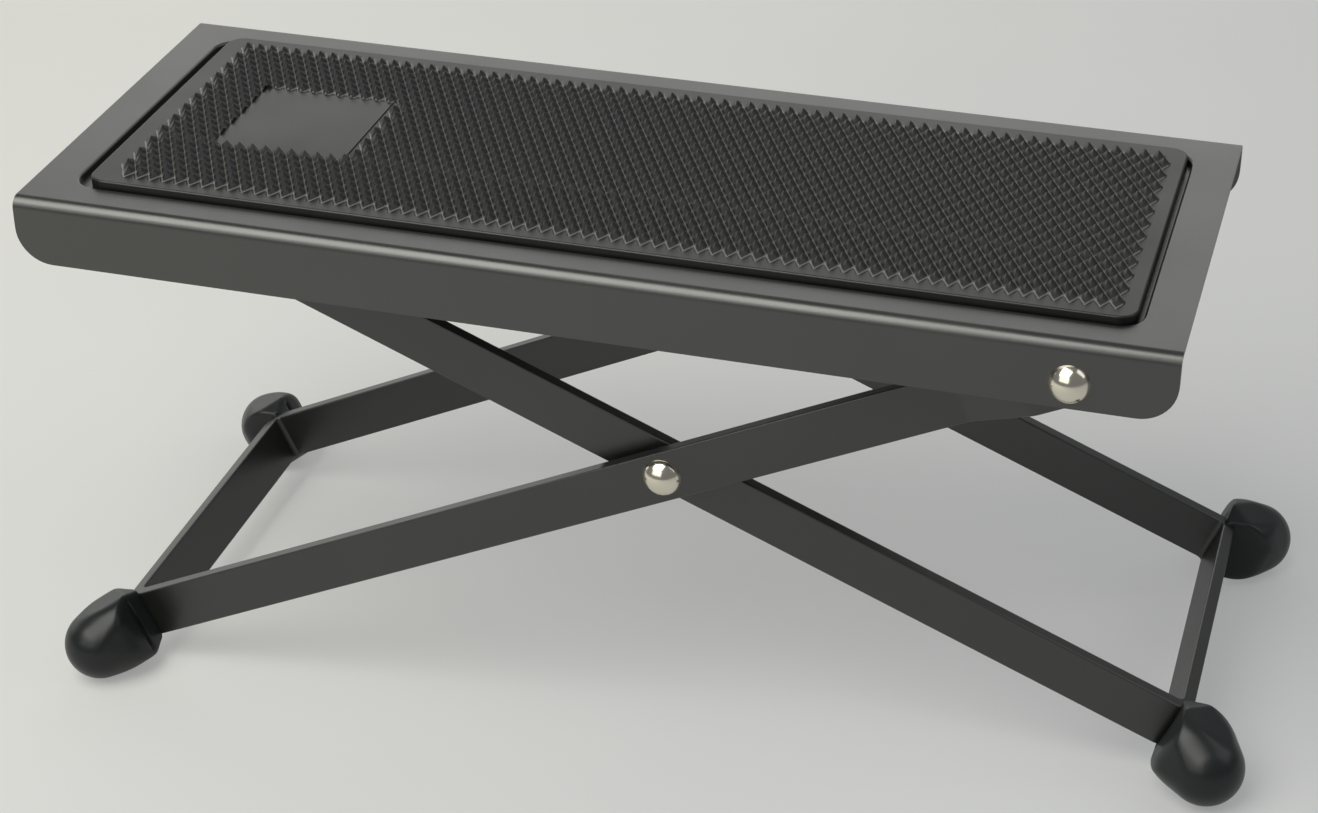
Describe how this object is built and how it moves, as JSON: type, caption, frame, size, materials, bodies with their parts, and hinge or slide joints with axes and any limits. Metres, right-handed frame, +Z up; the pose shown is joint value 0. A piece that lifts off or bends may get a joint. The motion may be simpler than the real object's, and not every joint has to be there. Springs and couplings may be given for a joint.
{
  "type": "guitar footrest",
  "caption": "Folding footrest for a seated guitarist: studded rubber mat on a folded steel plate, carried on crossed flat-bar legs with rubber caps.",
  "frame": {"origin": "on the floor under the middle of the footrest", "axes": "+X along the plate towards its riveted end, +Y to the rear, +Z up"},
  "size_m": [0.3254, 0.1426, 0.1496],
  "materials": {
    "black_paint": "satin powder coat",
    "mat_rubber": "matt moulded rubber",
    "black_rubber": "semi-matt moulded rubber",
    "nickel_rivet": "bright nickel plate",
    "plated_steel": "zinc plate"
  },
  "bodies": {
    "top": {"front_rack_rail": "black_paint", "front_upper_rivet": "nickel_rivet", "front_upper_washer": "plated_steel", "rear_rack_rail": "black_paint", "rear_upper_rivet": "nickel_rivet", "rear_upper_washer": "plated_steel", "rubber_mat": "mat_rubber", "top_plate": "black_paint"},
    "outer_legs": {"front_cross_rivet": "nickel_rivet", "front_cross_washer": "plated_steel", "front_left_foot": "black_rubber", "outer_leg_frame": "black_paint", "rear_cross_rivet": "nickel_rivet", "rear_cross_washer": "plated_steel", "rear_left_foot": "black_rubber"},
    "inner_legs": {"front_right_foot": "black_rubber", "inner_leg_frame": "black_paint", "rear_right_foot": "black_rubber", "support_rod": "plated_steel"}
  },
  "joints": [
    {"name": "leg_swing", "type": "hinge", "parent": "top", "child": "outer_legs", "pos_m": [0.11779, 0, 0.12036], "axis": [0, 1, 0], "range_deg": [-10.62, 25.4]},
    {"name": "leg_scissor", "type": "hinge", "parent": "outer_legs", "child": "inner_legs", "pos_m": [0.01224, 0, 0.07727], "axis": [0, 1, 0], "range_deg": [-47.87, 20.04]}
  ],
  "couplings": [
    {"joint": "leg_scissor", "follows": "leg_swing", "ratio": -1.8828}
  ]
}
